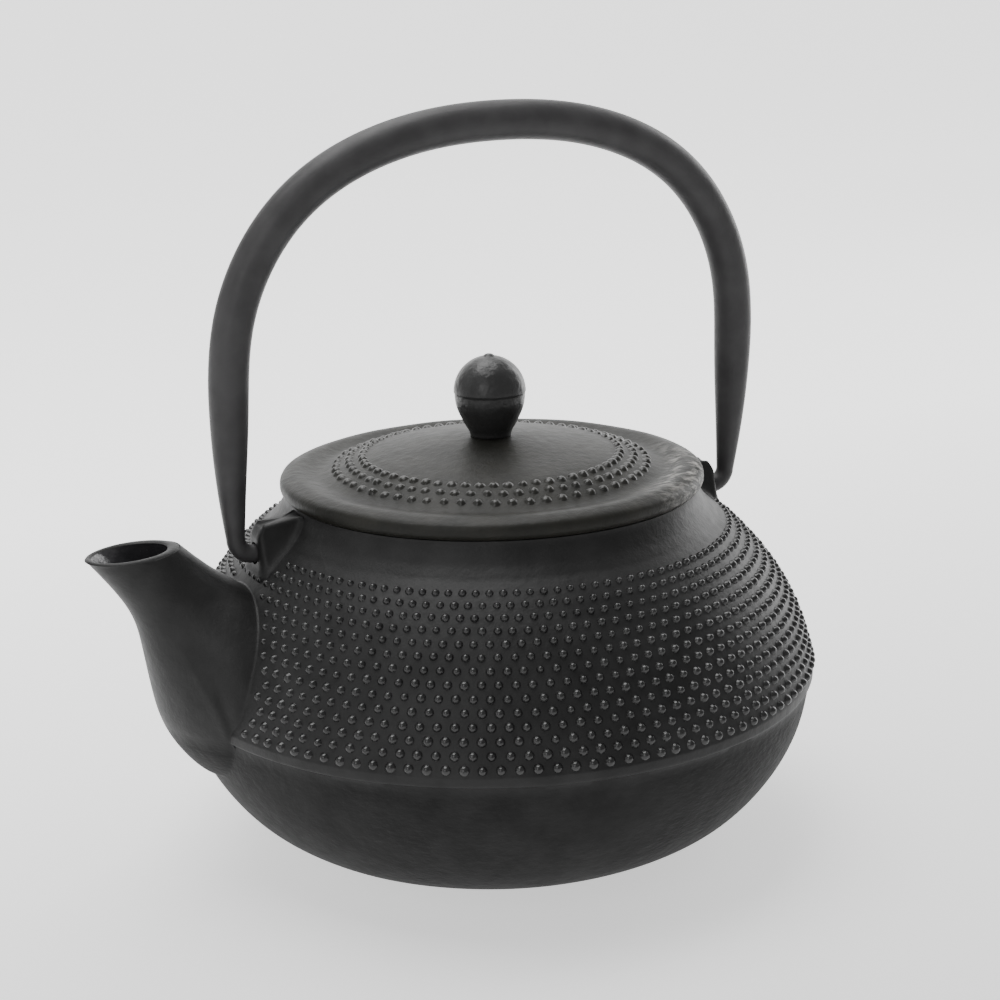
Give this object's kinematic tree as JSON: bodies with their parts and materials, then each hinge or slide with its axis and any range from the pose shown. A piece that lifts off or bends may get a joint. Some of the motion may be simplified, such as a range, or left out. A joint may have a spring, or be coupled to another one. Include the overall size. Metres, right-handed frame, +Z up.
{
  "type": "cast iron teapot",
  "caption": "Round hobnail cast iron teapot with side spout, folding bail handle, lift-off lid with riveted ball knob, and lift-out steel infuser.",
  "frame": {"origin": "centre of the flat base that the pot stands on, on the axis of the bowl", "axes": "+Z up along the bowl's axis; -X towards the spout; the spout and the upright handle lie in the XZ plane"},
  "size_m": [0.1894, 0.165, 0.1907],
  "materials": {
    "pot_iron": "satin black lacquer over hobnailed cast iron, black enamel inside",
    "handle_paint": "smooth satin black paint",
    "lid_iron": "matt olive black with a brushed, lightly worn rim",
    "knob_iron": "glossy black lacquer",
    "rivet_steel": "plain steel",
    "infuser_steel": "perforated stainless steel"
  },
  "bodies": {
    "pot": {"body_casting": "pot_iron"},
    "infuser": {"infuser_rim": "infuser_steel", "infuser_wall": "infuser_steel", "infuser_floor": "infuser_steel", "infuser_base_ring": "infuser_steel"},
    "lid": {"lid_casting": "lid_iron"},
    "knob": {"lid_knob": "knob_iron", "knob_rivet": "rivet_steel", "rivet_washer": "rivet_steel"},
    "handle": {"bail_handle": "handle_paint"}
  },
  "joints": [
    {"name": "handle_fold", "type": "hinge", "parent": "pot", "child": "handle", "pos_m": [0, 0, 0.084], "axis": [1, 0, 0], "range_deg": [-110, 102]},
    {"name": "infuser_lift", "type": "slide", "parent": "pot", "child": "infuser", "axis": [0, 0, 1], "range_m": [0, 0.048]},
    {"name": "lid_lift", "type": "slide", "parent": "infuser", "child": "lid", "axis": [0, 0, 1], "range_m": [0, 0.048]},
    {"name": "knob_turn", "type": "hinge", "parent": "lid", "child": "knob", "pos_m": [0, 0, 0.106], "axis": [0, 0, 1], "continuous": true}
  ]
}
